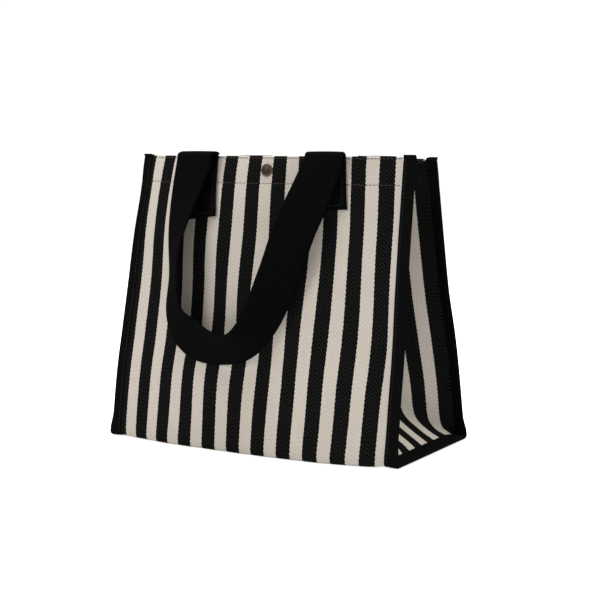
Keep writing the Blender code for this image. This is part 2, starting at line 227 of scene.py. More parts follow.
# rows from the floor to the mouth, columns from left to right as seen from the front
wall_depths = {
    -1: ((82, 84, 90, 91, 92, 91, 88, 80, 67),
         (73, 76, 81, 84, 83, 82, 79, 69, 57),
         (64, 66, 69, 73, 74, 74, 69, 63, 52),
         (54, 57, 62, 66, 68, 66, 60, 56, 52),
         (43, 50, 57, 60, 59, 54, 50, 51, 46),
         (32, 41, 49, 53, 53, 50, 50, 48, 39),
         (25, 30, 38, 43, 46, 48, 48, 43, 33)),
    1: ((81, 86, 90, 91, 92, 92, 90, 86, 81),
        (73, 77, 80, 82, 83, 83, 81, 76, 68),
        (64, 68, 72, 74, 75, 74, 71, 66, 57),
        (55, 58, 63, 66, 68, 67, 64, 56, 43),
        (47, 51, 54, 56, 58, 59, 54, 44, 31),
        (40, 46, 50, 51, 52, 52, 46, 34, 22),
        (33, 41, 46, 47, 47, 45, 38, 26, 14)),
}
FOOT_PUSH = 0.0020        # the front's right corner is pushed out by this at the foot
WAVE = 0.0005             # height of the slow, shallow waves of hand-sewn cloth
FINE = 0.001              # spacing of the fine grid that the depths are read from


def fine_wall(depths):
    """Depths on a fine grid, and how far along X the cloth has got: it is only as wide as it was cut."""
    fine_s = np.arange(wall_columns[0] - 2 * FINE, wall_columns[-1] + 3 * FINE, FINE)
    rows = [np.interp(fine_s, *smooth_through(np.column_stack([wall_columns, np.array(row) * MM]), 8).T)
            for row in depths]
    levels = smooth_through(np.column_stack([wall_levels, np.array(rows)]), 10)
    fine_z = np.arange(0, wall_levels[-1] + FINE, FINE)
    depth = np.stack([np.interp(fine_z, levels[:, 0], levels[:, i + 1]) for i in range(len(fine_s))], axis=1)
    slope = np.gradient(depth, FINE, axis=1)
    step = np.sqrt(np.maximum(1 - slope ** 2, 0.3)) * FINE
    place = np.cumsum(step, axis=1)
    middle = len(fine_s) // 2
    return fine_s[0], depth, place - place[:, middle:middle + 1]


fine_walls = {face: fine_wall(depths) for face, depths in wall_depths.items()}


def wall_place(s, z, face):
    """(x, depth) of the outer face of the front (-1) or back (1) wall, at s along the cloth and height z."""
    start, depth, place = fine_walls[face]
    row = np.clip(np.maximum(np.asarray(z, float), fold_radius) / FINE, 0, depth.shape[0] - 1.001)
    column = np.clip((np.asarray(s, float) - start) / FINE, 0, depth.shape[1] - 1.001)
    r, c = row.astype(int), column.astype(int)
    u, v = row - r, column - c
    x, y = ((grid[r, c] * (1 - u) + grid[r + 1, c] * u) * (1 - v)
            + (grid[r, c + 1] * (1 - u) + grid[r + 1, c + 1] * u) * v for grid in (place, depth))
    if face < 0:
        x = x + FOOT_PUSH * smoothstep(0.05, seam_x, s) * (1 - smoothstep(0, 0.16, z))
    # no waves at the seams or at the floor
    loose = smoothstep(0, 0.05, seam_x - np.abs(s)) * smoothstep(0.01, 0.08, z)
    return x, y + loose * WAVE * np.sin(s * 52 + z * 21) * np.sin(z * 33 + 1.3)


def wall_depth(s, z, face):
    return wall_place(s, z, face)[1]


for z in (0.03, 0.14, 0.27):
    print(f"front wall at z {z * 1000:.0f} mm: middle {wall_depth(0, z, -1) * 1000:.0f},",
          f"sides {wall_depth(-seam_x, z, -1) * 1000:.0f} and {wall_depth(seam_x, z, -1) * 1000:.0f} mm")

# %% [markdown]
# The canvas is one strip. Seen from the side it runs flat under the bag, turns up in a soft fold,
# climbs the wall, and folds in over the top edge to make the hem. Towards each side seam the base
# lifts a little off the floor, because the bound seam that sticks out there is stiff and tips down.

# %% One line of the strip, from under the bag to the inside of the hem
HEM = 0.0265              # depth of the turned-in hem
HEM_TURN = CLOTH * 0.56   # radius of the turn over the rim
stitch_rows = (0.0020, 0.0250)   # below the rim
STITCH_DENT, DENT_WIDTH = 0.00035, 0.0012
HEM_PUFF = 0.00025        # of the cloth between the two rows
BASE_JOIN = 0.055         # the strip is split here, under the bag, into base, front and back pieces
SIDE_LIFT = 0.0036        # of the side seams off the floor, along the middle of the base
CORNER_LIFT = 0.35        # share of it that is left at the corners
LIFT_WIDTH = 0.020        # of the cloth beside a seam that lifts with it
CREASE = 0.0042           # radius of the fold from the base up into a wall
CREASE_TIGHTER = 0.4      # share that it loses towards the seams
FLANGE_REACH = 0.0134     # width of the bound seam, which tips down until it touches the floor
BASE_POINTS, FOLD_POINTS, TURN_POINTS, HEM_POINTS = 8, 8, 5, 12     # of each stretch of a line


def side_lift(s):
    return SIDE_LIFT * float(smoothstep(seam_x - LIFT_WIDTH, seam_x, abs(s))) ** 1.5


def flange_tip(z):
    """The angle at which the bound seam tips down from height z."""
    return math.asin(min(max((z - CLOTH) / FLANGE_REACH, 0.0), 0.7))


def hem_relief(below):
    """How far the two rows of stitches pull the cloth in, or the cloth between them stands out."""
    first, last = stitch_rows
    between_rows = min(max((below - first) / (last - first), 0), 1)
    dent = sum(STITCH_DENT * math.exp(-((below - row) / DENT_WIDTH) ** 2) for row in stitch_rows)
    return HEM_PUFF * math.sin(math.pi * between_rows) ** 2 - dent


def strip_line(s, face):
    """Points (x, y, z, tip of the flange) of the cloth's middle surface, at s from the strip's middle."""
    full_lift = side_lift(s)
    lift = full_lift * CORNER_LIFT + CLOTH / 2
    radius = CREASE * (1 - CREASE_TIGHTER * float(smoothstep(seam_x - 0.03, seam_x, abs(s))))
    foot = radius + lift

    def wall_middle(z):
        x, depth = wall_place(s, z, face)
        return float(x), float(depth) - CLOTH / 2

    base_x, depth = wall_middle(foot)
    points = []
    for t in np.linspace(0, 1, BASE_POINTS + 1)[:-1]:
        z = lift + full_lift * (1 - CORNER_LIFT) * (1 - float(smoothstep(0, 1, t)))
        points.append((s + (base_x - s) * t, BASE_JOIN + (depth - radius - BASE_JOIN) * t, z, flange_tip(z)))
    for a in np.linspace(0, math.pi / 2, FOLD_POINTS + 1)[:-1]:
        points.append((base_x, depth - radius + radius * math.sin(a), foot - radius * math.cos(a),
                       flange_tip(lift) * (1 - a / (math.pi / 2))))
    rim = rim_z[face]
    crest = rim - HEM_TURN - CLOTH / 2
    finer = rim - 0.036
    for z in np.concatenate([np.linspace(foot, finer, 44)[:-1], np.linspace(finer, crest, 28)]):
        x, depth = wall_middle(z)
        points.append((x, depth + hem_relief(rim - z), z, 0.0))
    x, depth = wall_middle(crest)
    for a in np.linspace(0, math.pi, TURN_POINTS + 2)[1:-1]:
        points.append((x, depth - HEM_TURN * (1 - math.cos(a)), crest + HEM_TURN * math.sin(a), 0.0))
    for z in np.linspace(crest, rim - HEM, HEM_POINTS):
        x, depth = wall_middle(z)
        points.append((x, depth - 2 * HEM_TURN, z, 0.0))
    return points


print("points on each line of the strip:", len(strip_line(0.0, -1)))

# %% [markdown]
# The columns of the grid stand close together. The last few at each side leave the seam and run out
# into the binding: that is the seam allowance, the flange that the tape is folded over.

# %% The front and back pieces of the strip
FLANGE, FLANGE_COLUMNS = 0.0085, 3
FLANGE_TURN = 0.6         # share of the wall's slope that the flange keeps
GRAIN_ACROSS, GRAIN_UP = 0.0070, 0.0068   # how far the stripes run off, for each metre across and up
GRAIN_TURN = 0.085        # distance up the cloth from which they run off sideways
FOOT_DRIFT = 0.0042       # and how far they are pulled over at the front's right foot
inner_columns = list(np.linspace(-seam_x, seam_x, 93))
flange_columns = list(np.linspace(0, FLANGE, FLANGE_COLUMNS + 1)[1:])


def sideways_wobble(x, z):
    """The woven stripes are never quite straight, and this canvas was cut a little off the grain."""
    off_grain = GRAIN_ACROSS * x + GRAIN_UP * np.clip(z - GRAIN_TURN, 0, None)
    at_foot = smoothstep(0.03, seam_x, x) * (1 - smoothstep(GRAIN_TURN, 0.2, z)) * (z > 0)
    off_grain = off_grain + FOOT_DRIFT * at_foot
    return off_grain + 0.00035 * np.sin(z * 61 + x * 37) + 0.00025 * np.sin(z * 23 - x * 71 + 2.0)


def flange_column(side, face, out):
    """A line of the flange: it runs on the way the wall was going, less steeply, and tips down below."""
    column = []
    seam_line, before = strip_line(side * seam_x, face), strip_line(side * (seam_x - 0.006), face)
    for (x, y, z, tip), (x0, y0, _, _) in zip(seam_line, before):
        turn = FLANGE_TURN * math.atan2(y - y0, abs(x - x0)) * float(smoothstep(0.0, 0.030, z))
        away = out * math.cos(tip)
        column.append((x + side * away * math.cos(turn), face * (y + away * math.sin(turn)),
                       z - out * math.sin(tip)))
    return column


def strip_grid(face):
    """Middle surface and cloth distances of a wall piece, flanges included."""
    columns = [flange_column(-1, face, out) for out in flange_columns[::-1]]
    columns += [[(x, face * y, z) for x, y, z, tip in strip_line(s, face)] for s in inner_columns]
    columns += [flange_column(1, face, out) for out in flange_columns]
    across = [-seam_x - out for out in flange_columns[::-1]] + inner_columns
    across += [seam_x + out for out in flange_columns]
    grid = np.array(columns).transpose(1, 0, 2)
    along = run_along(grid[:, grid.shape[1] // 2]) + BASE_JOIN
    uv = np.stack(np.broadcast_arrays(np.array(across)[None, :], (-face * along)[:, None]), axis=2).copy()
    uv[..., 0] += sideways_wobble(uv[..., 0], uv[..., 1])
    return grid, uv


def wall_cloth(word, face):
    grid, uv = strip_grid(face)
    obj = cloth_piece(f"{word}_cloth", grid, uv, grid_normals(grid) * -face)
    cut_length = abs(uv[-1, 0, 1] - uv[0, 0, 1])
    print(f"{obj.name}: {grid.shape[0]} x {grid.shape[1]} points, cut {cut_length * 1000:.0f} mm long")
    return obj, grid, uv, cut_length


front_cloth, front_grid, front_uv, wall_cut = wall_cloth("front", -1)
back_cloth, back_grid, _, _ = wall_cloth("back", 1)

# %% The base piece of the strip
def base_cloth_piece():
    ys = np.linspace(-BASE_JOIN, BASE_JOIN, 23)
    grid = np.zeros((len(ys), front_grid.shape[1], 3))
    for r, y in enumerate(ys):
        grid[r] = front_grid[0]
        grid[r, :, 1] = y
    uv = np.zeros(grid.shape[:2] + (2,))
    uv[..., 0] = front_uv[0, :, 0]
    uv[..., 1] = -ys[:, None]
    return cloth_piece("base_cloth", grid, uv, -grid_normals(grid)), grid


base_cloth, base_grid = base_cloth_piece()
print("base piece:", base_grid.shape[:2])

# %% [markdown]
# ## Binding tape
# The side seams are sewn with the cut edges outward, and a folded cotton tape covers them. It is
# made as the real tape is: one thin strip, bent round the edge in a C, and swept along the seam.
# The seam line is the last column of the wall's own grid, so the tape follows every lean and bend.

# %% The tape's cross-section
TAPE = 0.0006
SLACK = 0.0001            # between two layers
SEAM_LAYERS = 2 * CLOTH + SLACK     # the wall's cloth and the gusset's, one on the other
TAPE_WIDTH = tape_end_x - seam_x
TAPE_STITCH_OUT = 0.002   # of the tape's row of stitches from the seam
TAPE_DENT = 0.00025       # depth of the groove that the row makes
TAPE_CAP = 0.0026         # the tape's ends stand this far over the rim
BASE_TAPE_EXTRA = FLANGE_REACH / TAPE_WIDTH - 1


def tape_section():
    """Closed outline of the folded tape: (outward from the seam, inward from the wall's middle surface)."""
    low = -CLOTH / 2 - TAPE / 2 - SLACK
    high = SEAM_LAYERS - CLOTH / 2 + TAPE / 2 + SLACK
    bend = (high - low) / 2
    reach = TAPE_WIDTH - bend - TAPE / 2

    def groove(t):
        return TAPE_DENT * math.exp(-((t - TAPE_STITCH_OUT) / 0.001) ** 2)

    centre = [(t, low + groove(t)) for t in np.linspace(0, reach, 12)]
    centre += [(reach + bend * math.sin(a), low + bend * (1 - math.cos(a)))
               for a in np.linspace(0, math.pi, 9)[1:-1]]
    centre += [(t, high - groove(t)) for t in np.linspace(reach, 0, 12)]
    centre = np.array(centre)
    tangent = unit(np.gradient(centre, axis=0))
    normal = np.stack([tangent[:, 1], -tangent[:, 0]], axis=1)
    outside, inside = centre + normal * TAPE / 2, centre - normal * TAPE / 2
    tip_a = centre[-1] + tangent[-1] * TAPE * 0.4
    tip_b = centre[0] - tangent[0] * TAPE * 0.4
    return np.vstack([outside, [tip_a], inside[::-1], [tip_b]])


section = tape_section()
section_girth = run_along(section)
print(f"tape outline: {len(section)} points, {section_girth[-1] * 1000:.1f} mm round")

# %% Sweep it along each seam
def seam_frames(grid, side):
    """Along a grid's side seam: the points, the flange's direction, and the way into the bag."""
    seam_column, edge_column = (-1 - FLANGE_COLUMNS, -1) if side > 0 else (FLANGE_COLUMNS, 0)
    line, edge = grid[:, seam_column], grid[:, edge_column]
    outward = unit(edge - line)
    inward = unit(np.cross(unit(np.gradient(line, axis=0)), outward))
    inside_bag = np.array([0.0, 0.0, 0.12])
    inward *= np.sign(np.sum(inward * (inside_bag - line), axis=1))[:, None]
    return line, outward, inward


def tape_piece(name, grid, side, last=None, cap=0.0):
    line, outward, inward = (part[:last].copy() for part in seam_frames(grid, side))
    if cap:
        line[-1] = line[-1] + unit(line[-1] - line[-2]) * cap
    # the tape was folded less deep along the base, where four layers meet
    wider = 1 + BASE_TAPE_EXTRA * (1 - smoothstep(0.004, 0.022, line[:, 2]))
    rings = (line[:, None] + outward[:, None] * section[None, :, :1] * wider[:, None, None]
             + inward[:, None] * section[None, :, 1:])
    lengths = run_along(line)
    return swept_piece(name, rings, lengths, section_girth, 60), float(lengths[-1])


wall_rows = len(front_grid) - TURN_POINTS - HEM_POINTS + 1     # up to the crest, without the turned-in hem
seamed = {"front": (front_grid, wall_rows, TAPE_CAP), "back": (back_grid, wall_rows, TAPE_CAP),
          "base": (base_grid, None, 0.0)}
tapes = {(word, side_word): tape_piece(f"{word}_{side_word}_tape", grid, side, last, cap)
         for side_word, side in SIDES for word, (grid, last, cap) in seamed.items()}
tape_run = sum(tapes[part, "right"][1] for part in ("front", "base", "back"))
print(f"one tape runs {tape_run * 1000:.0f} mm from top corner to top corner")

# %% [markdown]
# ## Gussets
# Each gusset is one rectangle of the same canvas, sewn in along three sides. Down its middle it is
# folded inward, so that the bag can close. The fold can't reach the base, where the cloth is still
# its full width, so it ends in a point, and two soft bends run from that point to the base corners.
# The triangle between them is the foot. Knowing how far each point lies from the seams on the flat
# cloth gives a folded shape without stretching it; a few rounds of smoothing then round the bends.

# %% First shape of a gusset
GUSSET_HALF = 0.081       # from the fold to a seam, on the flat cloth
GUSSET_HEIGHT = 0.266     # from the base seam to the turned top edge
GUSSET_EASE = 0.0008      # the two seams differ a little in length, and the cloth is eased in
GUSSET_TURN = CLOTH * 0.55      # radius of the turn at the top edge
turned_in = 0.004 + 0.0035 * np.arange(4)       # of the rows of points that are turned in there
STRIPE_START = 0.1211     # a black stripe starts this far left of the bag's middle
GUSSET_START = STRIPE_START + 0.0016      # the gussets were cut from another part of the pattern
LAST_STRIPE = 0.0012      # the black stripe beside the back tape runs on under the tape
FOOT_HEIGHT = 0.061       # of the foot's point above the base seam, on the flat cloth
FOOT_SPREAD = 0.90        # share of the base's half depth that the foot's point still spans
gusset_columns, gusset_rows = 49, 75


def inner_seam(side, face):
    """The gusset's edge along one wall's seam: it lies inside the wall's cloth."""
    line, outward, inward = seam_frames(front_grid if face < 0 else back_grid, side)
    return (line + outward * 0.0015 + inward * (CLOTH + SLACK))[:wall_rows]


def seam_by_height(side, face):
    """The same edge as a function of the distance up from the base seam, where the strip's fold starts."""
    line = inner_seam(side, face)[BASE_POINTS:]
    climb = run_along(line)
    reach = (climb[-1] - GUSSET_EASE) / GUSSET_HEIGHT
    return lambda v: np.array([np.interp(v * reach, climb, line[:, i]) for i in range(3)])


def foot_point(s, up, end, corners, apex):
    """A point at or below the foot's point, up of the way to it; the foot lies between its two bends."""
    near_word = -1 if s < 0 else 1
    near, far = (corners[word] * (1 - up) + apex * up for word in (near_word, -near_word))
    if abs(s) > 1 - up:
        return near + (end - near) * (abs(s) - (1 - up)) / max(up, 1e-9)
    return far + (near - far) * (0.5 + 0.5 * abs(s) / max(1 - up, 1e-9))


def gusset_stripes(s, half_width):
    """Distance across the canvas; the last stripe is widened, to run on under the back tape."""
    into_stripe = GUSSET_HALF - s * half_width - GUSSET_START + STRIPE_START
    return max(into_stripe, into_stripe * 0.2 + LAST_STRIPE) - STRIPE_START


def gusset_shape(side):
    """Middle surface of one gusset, rows from the base up and columns from the front seam to the back."""
    seams = {face: seam_by_height(side, face) for _, face in WALLS}
    corners = {face: seam(0) for face, seam in seams.items()}
    share = np.linspace(-1, 1, gusset_columns)
    heights = np.concatenate([np.linspace(0, 0.012, 6)[:-1],
                              np.linspace(0.012, GUSSET_HEIGHT, gusset_rows - 5)])
    half_base = (corners[1][1] - corners[-1][1]) / 2
    apex_in = math.sqrt(GUSSET_HALF ** 2 - (half_base * FOOT_SPREAD) ** 2)
    apex = np.array([corners[1][0] - side * apex_in, 0.0,
                     corners[1][2] + math.sqrt(FOOT_HEIGHT ** 2 - apex_in ** 2)])
    grid, uv = np.zeros((len(heights), len(share), 3)), np.zeros((len(heights), len(share), 2))
    crease = apex
    for r, v in enumerate(heights):
        ends = {face: seam(v) for face, seam in seams.items()}
        round_off = fold_radius * (1 - math.sin(min(v / (fold_radius * 1.57), 1) * math.pi / 2))
        if v >= FOOT_HEIGHT:
            middle, spread = (ends[1] + ends[-1]) / 2, (ends[1][1] - ends[-1][1]) / 2
            z = crease[2] + (v - heights[r - 1]) * 0.98
            in_x = math.sqrt(max(GUSSET_HALF ** 2 - spread ** 2 - (z - middle[2]) ** 2, 1e-6))
            crease = np.array([middle[0] - side * in_x, 0.0, z])
        for c, s in enumerate(share):
            end = ends[-1 if s < 0 else 1]
            if v >= FOOT_HEIGHT:
                grid[r, c] = crease + (end - crease) * abs(s)
            else:
                grid[r, c] = foot_point(s, v / FOOT_HEIGHT, end, corners, apex)
            uv[r, c] = (gusset_stripes(s, GUSSET_HALF - round_off), v)
            # the lower edge is sewn to the base, which is lifted higher between the corners
            from_fold = (1 - abs(s)) * half_base / (half_base - BASE_JOIN)
            raised = SIDE_LIFT * (1 - CORNER_LIFT) * smoothstep(0, 1, from_fold)
            grid[r, c, 2] += raised * (1 - smoothstep(0, 0.03, v))
    return grid, uv


def soften(grid, rounds):
    """Round the bends, as stiff cloth does, by moving each inner point towards its neighbours."""
    for _ in range(rounds):
        mean = (grid[:-2, 1:-1] + grid[2:, 1:-1] + grid[1:-1, :-2] + grid[1:-1, 2:]) / 4
        grid[1:-1, 1:-1] += 0.5 * (mean - grid[1:-1, 1:-1])
        grid[-1, 1:-1] += 0.5 * ((grid[-1, :-2] + grid[-1, 2:]) / 2 - grid[-1, 1:-1])
    return grid


# %% The gusset pieces
def gusset_pieces(side_word, side):
    grid, uv = gusset_shape(side)
    grid = soften(grid, 12)
    normals = grid_normals(grid)
    if np.sum(normals[..., 0]) * side < 0:
        normals = -normals
    # the top edge is turned in, as on the walls, and lies against the rows below it
    below = [-2, -3, -4, -5]
    crest = grid[-1] - normals[-1] * GUSSET_TURN + np.array([0, 0, CLOTH / 2])
    grid_all = np.concatenate([grid, [crest], grid[below] - normals[below] * 2 * GUSSET_TURN])
    normals_all = np.concatenate([normals, np.broadcast_to([0, 0, 1.0], (1, *crest.shape)), -normals[below]])
    uv_all = np.concatenate([uv, [uv[-1] + [0, turn] for turn in (turned_in[0] / 2, *turned_in)]])
    middle = grid.shape[1] // 2
    pieces = []
    for word, cut in (("front", slice(0, middle + 1)), ("back", slice(middle, None))):
        name = f"{side_word}_gusset_{word}"
        pieces.append(cloth_piece(name, grid_all[:, cut], uv_all[:, cut], normals_all[:, cut]))
    return pieces, grid


gussets = {}
for side_word, side in SIDES:
    gussets[side_word] = gusset_pieces(side_word, side)
    print(side_word, "gusset pleat reaches in to x =",
          round(float(np.abs(gussets[side_word][1][..., 0]).min()) * 1000), "mm")

# %% [markdown]
# ## Handles
# Each handle is one length of soft cotton webbing. Its two ends are sewn flat on the outside of the
# wall; it leaves them upward, turns over the top edge and hangs down outside. A strap this limp does
# not stay flat: each leg twists as it falls, its inner edge leaning away from the wall, and the
# bottom of the loop swings to one side. So the strap is a thin rounded rectangle swept along a curve,
# with a lean that changes along it.

# %% The strap's route
STRAP = 0.0026
TURN = 0.0040             # from the line that a handle swings about out to the strap's middle
TURN_RISE = {-1: 0.0028, 1: 0.0008}       # of the strap's middle over the rim; the back one is pressed flat
SEWN = {"left": 0.058, "right": 0.048}
SLANT = {"left": 0.12, "right": 0.05}     # the sewn ends were not pinned quite upright


WALL_LEAN = 1 / 6         # of the middle of a wall, inwards for each metre up
CORNER_LEAN, CORNER_PULL = 0.192, 0.006   # of its corners, and the pull of the pleat on them near the rim
MIDDLE_FOOT, CORNER_FOOT = 0.092, 0.0825  # depth of both at the floor
CORNER_X = 0.138


def solid_depth(x, z):
    """Depth of the plain wall that the strap's route was planned on."""
    level = max(z, fold_radius)
    corner = CORNER_FOOT - CORNER_LEAN * level - CORNER_PULL * max(0.0, (z - 0.200) / 0.070) ** 2
    fullness = 1 - min(abs(x) / CORNER_X, 1.0) ** (3 + 3 * level / top_z)
    return corner + (MIDDLE_FOOT - WALL_LEAN * level - corner) * fullness


# from the right end to the left: x, stand-off from the wall, z, lean of the inner edge in degrees
hang_points = (
    (0.069, 0.0098, 0.2640, 0),
    (0.060, 0.0120, 0.2360, 12),
    (0.048, 0.0145, 0.2030, 28),
    (0.038, 0.0165, 0.1650, 34),
    (0.025, 0.0200, 0.1250, 47),
    (0.006, 0.0200, 0.1010, 48),
    (-0.022, 0.0150, 0.0960, 30),
    (-0.053, 0.0100, 0.1020, 10),
    (-0.073, 0.0130, 0.1220, 30),
    (-0.077, 0.0160, 0.1600, 46),
    (-0.079, 0.0130, 0.2050, 32),
    (-0.069, 0.0098, 0.2640, 0),
)
out_of_front = Vector((0, -1, 0))


def end_depth(x, z, face):
    """How far out the wall is behind the strap's middle, and how it slopes across the strap."""
    # the back handle is laid out as a front one, and then turned half round
    left, middle, right = (float(wall_depth(-face * (x + shift), z, face))
                           for shift in (-strap_width / 2, 0, strap_width / 2))
    return max((left + right) / 2, middle) + STRAP / 2 + 0.0002, (left - right) / strap_width


def sewn_stations(side_word, x, face):
    """The sewn end, from its cut edge up to the top edge: centre, width direction, facing."""
    found = []
    for below in np.linspace(SEWN[side_word], 0, 15):
        centre_x = x + SLANT[side_word] * below
        depth, slope = end_depth(centre_x, rim_z[face] - below, face)
        width = Vector((1, slope, SLANT[side_word])).normalized()
        found.append((Vector((centre_x, -depth, rim_z[face] - below)), width, out_of_front))
    return found


def turn_stations(x, face):
    """Over the top edge: a low arch, from the wall's outer face to the free side."""
    inner, slope = end_depth(x, rim_z[face], face)
    outer = abs(swing_axis.y) + TURN
    middle, half, rise = (inner + outer) / 2, (outer - inner) / 2, TURN_RISE[face]
    found = []
    for a in np.linspace(0, math.pi, 15)[1:]:
        place = Vector((x, -middle + half * math.cos(a), rim_z[face] + rise * math.sin(a)))
        facing = -Vector((0, math.cos(a) / half, math.sin(a) / rise)).normalized()
        width = Vector((1, slope * (1 - a / math.pi), 0))
        found.append((place, (width - facing * width.dot(facing)).normalized(), facing))
    return found


def hanging_stations():
    """The free length, from the right turn to the left one."""
    path = smooth_through(hang_points, 9)
    middles = [Vector((x, -solid_depth(x, z) - off, z)) for x, off, z, lean in path]
    found = []
    for i, (x, off, z, lean) in enumerate(path):
        tangent = (middles[min(i + 1, len(path) - 1)] - middles[max(i - 1, 0)]).normalized()
        flat = tangent.cross(out_of_front)
        angle = math.radians(lean)
        width = flat.normalized() * math.cos(angle) + out_of_front * math.sin(angle)
        width = (width - tangent * width.dot(tangent)).normalized()
        found.append((middles[i], width, width.cross(tangent).normalized()))
    return found


def strap_stations(face):
    """The stations of the strap's three stretches: the right end, the hanging loop, the left end."""
    right_end = sewn_stations("right", strap_x, face) + turn_stations(strap_x, face)
    right_end = [(centre, -width, facing) for centre, width, facing in right_end]
    left_end = (sewn_stations("left", -strap_x, face) + turn_stations(-strap_x, face))[::-1]
    middle = hanging_stations()
    flip = 1 if middle[0][2].dot(right_end[-1][2]) > 0 else -1
    loop = [right_end[-1]] + [(c, w, n * flip) for c, w, n in middle] + [left_end[0]]
    return {"right_end": right_end, "loop": loop, "left_end": left_end}


print("stations on the strap:", {word: len(part) for word, part in strap_stations(-1).items()})

# %% Sweep the webbing
def strap_section():
    """Closed outline of the webbing, slightly dished, with round selvedges: (across, through)."""
    half, round_end = strap_width / 2, STRAP / 2
    across = np.linspace(-half + round_end, half - round_end, 15)
    dish = 0.0003 * (1 - (across / half) ** 2)
    upper = [(a, STRAP / 2 - d) for a, d in zip(across, dish)]
    lower = [(a, -STRAP / 2 - d) for a, d in zip(across, dish)][::-1]
    right = [(half - round_end + round_end * math.cos(a), round_end * math.sin(a) * 0.9)
             for a in (math.pi / 4, 0, -math.pi / 4)]
    left = [(-x, -z) for x, z in right]
    return np.array(upper + right + lower + left)


strap_outline = strap_section()
strap_girth = run_along(strap_outline)


def handle_pieces(word, face):
    """The strap in three pieces, split where its hanging length begins to swing with the handle."""
    pieces, run = {}, 0.0
    for part, stations in strap_stations(face).items():
        rings = np.array([[centre + width * a + facing * t for a, t in strap_outline]
                          for centre, width, facing in stations])
        if face > 0:
            rings = rings * (-1, -1, 1)
        lengths = run + run_along(rings.mean(axis=1))
        pieces[part] = swept_piece(f"{word}_strap_{part}", rings, lengths, strap_girth, 60)
        run = lengths[-1]
    return pieces, run


handles = {}
for word, face in WALLS:
    handles[word], strap_length = handle_pieces(word, face)
    print(f"the {word} handle takes {strap_length * 1000:.0f} mm of webbing")

# %% [markdown]
# ## Thread
# Every seam on a sewn bag is held by rows of short stitches, and each stitch sinks a little into the
# cloth. They are made as small rounded bars laid end to end along a line on the cloth, all of one row
# joined into one piece. Where the thread crosses the pale stripes it shows as a fine brown line.

# %% Lay a row of stitches along a line
THREAD = 0.00026          # radius
STITCH, STITCH_GAP = 0.0031, 0.0005
# of the rings along a stitch: the place on it, the size, and the rise out of the cloth, in radii
stitch_rings = ((0, 0.45, -0.9), (0.18, 1.0, 0.0), (0.5, 1.1, 0.35), (0.82, 1.0, 0.0), (1, 0.45, -0.9))


def stitch_row(points, facing):
    """Verts and faces of the stitches along a line of points; facing is the way out of the cloth."""
    points, facing = np.array(points, float), np.array(facing, float)
    run = run_along(points)

    def at(distance, values):
        return np.array([np.interp(distance, run, values[:, i]) for i in range(3)])

    verts, faces = [], []
    start = STITCH_GAP
    while start + STITCH < run[-1]:
        a, b = at(start, points), at(start + STITCH, points)
        along = unit(b - a)
        out = at(start + STITCH / 2, facing)
        out = unit(out - along * np.dot(out, along))
        side = np.cross(along, out)
        first = len(verts)
        for t, size, lift in stitch_rings:
            middle = a + (b - a) * t + out * THREAD * lift
            for k in range(6):
                turn = math.pi * k / 3
                verts.append(middle + (side * math.cos(turn) + out * math.sin(turn)) * THREAD * size)
        for ring in range(4):
            for k in range(6):
                p, q = first + ring * 6 + k, first + ring * 6 + (k + 1) % 6
                faces.append((p, q, q + 6, p + 6))
        faces.append(tuple(first + k for k in range(6))[::-1])
        faces.append(tuple(first + 24 + k for k in range(6)))
        start += STITCH + STITCH_GAP
    return verts, faces


def stitches(name, rows):
    verts, faces = [], []
    for points, facing in rows:
        more_verts, more_faces = stitch_row(points, facing)
        faces += [tuple(i + len(verts) for i in face) for face in more_faces]
        verts += more_verts
    return face_outward(make_object(name, verts, faces))


# %% The two rows that hold each hem
def hem_rows(face):
    rows = []
    for below in stitch_rows:
        z = rim_z[face] - below
        line = [wall_place(s, z, face) for s in np.linspace(-seam_x + 0.001, seam_x - 0.001, 90)]
        # the thread shows outside, and again inside the bag, on the turned-in cloth
        for sunk, way in ((0.00025, face), (4 * HEM_TURN, -face)):
            points = [(float(x), face * (float(depth) - sunk), z) for x, depth in line]
            rows.append((points, [(0, way, 0)] * len(points)))
    return rows


hem_stitches = {word: stitches(f"{word}_hem_stitches", hem_rows(face)) for word, face in WALLS}

# %% The row that holds each tape
def tape_rows(grid, side, last=None):
    line, outward, inward = (part[:last] for part in seam_frames(grid, side))
    on_tape = -CLOTH / 2 - TAPE - SLACK + 0.00030
    return [(line + outward * TAPE_STITCH_OUT + inward * on_tape, -inward)]


tape_stitches = {(word, side_word): stitches(f"{word}_{side_word}_tape_stitches", tape_rows(grid, side, last))
                 for side_word, side in SIDES for word, (grid, last, _) in seamed.items()}

# %% The box of stitches on each sewn end
def box_rows(side_word, x, face):
    stations = sewn_stations(side_word, x, face)
    half, low, high = strap_width / 2 - 0.004, SEWN[side_word] - 0.004, 0.006
    corners = [(-half, low), (half, low), (half, high), (-half, high), (-half, low), (half, high)]
    belows = [rim_z[face] - c.z for c, _, _ in stations][::-1]
    rows = []
    for (across0, below0), (across1, below1) in zip(corners, corners[1:]):
        line = []
        for t in np.linspace(0, 1, 14):
            below, across = below0 + (below1 - below0) * t, across0 + (across1 - across0) * t
            centre, width = (Vector([np.interp(below, belows, [s[part][i] for s in stations][::-1])
                                     for i in range(3)]) for part in (0, 1))
            p = centre + width * across + out_of_front * (STRAP / 2 - 0.0002)
            line.append((-face * p.x, -face * p.y, p.z))
        rows.append((line, [(0, face, 0)] * len(line)))
    return rows


box_stitches = {}
for word, face in WALLS:
    rows = box_rows("right", strap_x, face) + box_rows("left", -strap_x, face)
    box_stitches[word] = stitches(f"{word}_handle_stitches", rows)

# %% [markdown]
# ## Snap
# A pressed metal snap closes the mouth. Outside, each wall shows a small dished cap. Inside, the
# front wall carries the socket ring and the back wall the stud. They are turned shapes: a profile
# spun about the snap's own axis, which is square to the wall.

